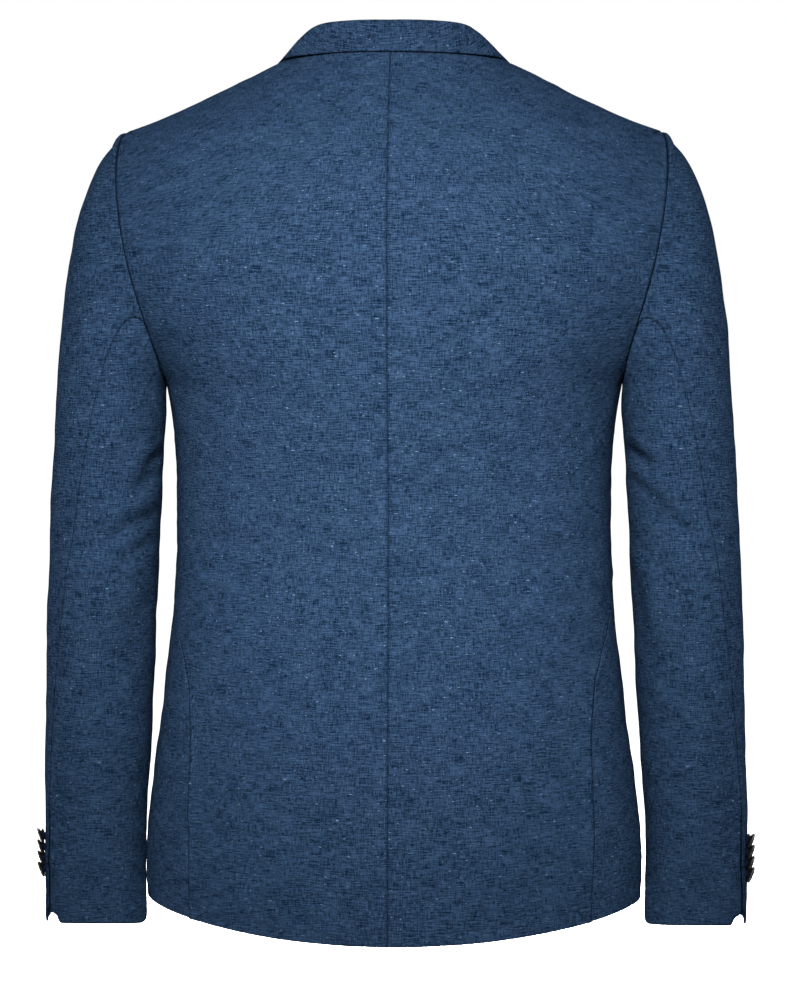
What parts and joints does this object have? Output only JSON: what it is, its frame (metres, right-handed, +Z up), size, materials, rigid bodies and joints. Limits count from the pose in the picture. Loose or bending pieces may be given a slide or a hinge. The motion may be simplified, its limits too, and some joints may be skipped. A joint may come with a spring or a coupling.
{
  "type": "blazer",
  "caption": "Slim single-breasted blazer in blue chambray linen, with notch lapels, side vents and buttoned cuffs.",
  "frame": {"origin": "the middle of the neck, level with the side neck points of the shoulders", "axes": "+Z up, the front faces -Y, the wearer's left is +X"},
  "size_m": [0.6066, 0.2577, 0.7534],
  "materials": {
    "cloth": "mid-blue chambray linen, matt, with slubs",
    "button": "polished dark brown horn-look resin"
  },
  "bodies": {
    "root": {"collar": "cloth", "back_left": "cloth", "side_left": "cloth", "front_left": "cloth", "lapel_left": "cloth", "pocket_flap_left": "cloth", "sleeve_top_left": "cloth", "sleeve_under_left": "cloth", "back_right": "cloth", "side_right": "cloth", "front_right": "cloth", "lapel_right": "cloth", "pocket_flap_right": "cloth", "sleeve_top_right": "cloth", "sleeve_under_right": "cloth", "front_button_1": "button", "front_button_2": "button", "cuff_button_left_1": "button", "cuff_button_left_2": "button", "cuff_button_left_3": "button", "cuff_button_left_4": "button", "cuff_button_right_1": "button", "cuff_button_right_2": "button", "cuff_button_right_3": "button", "cuff_button_right_4": "button"}
  },
  "joints": []
}
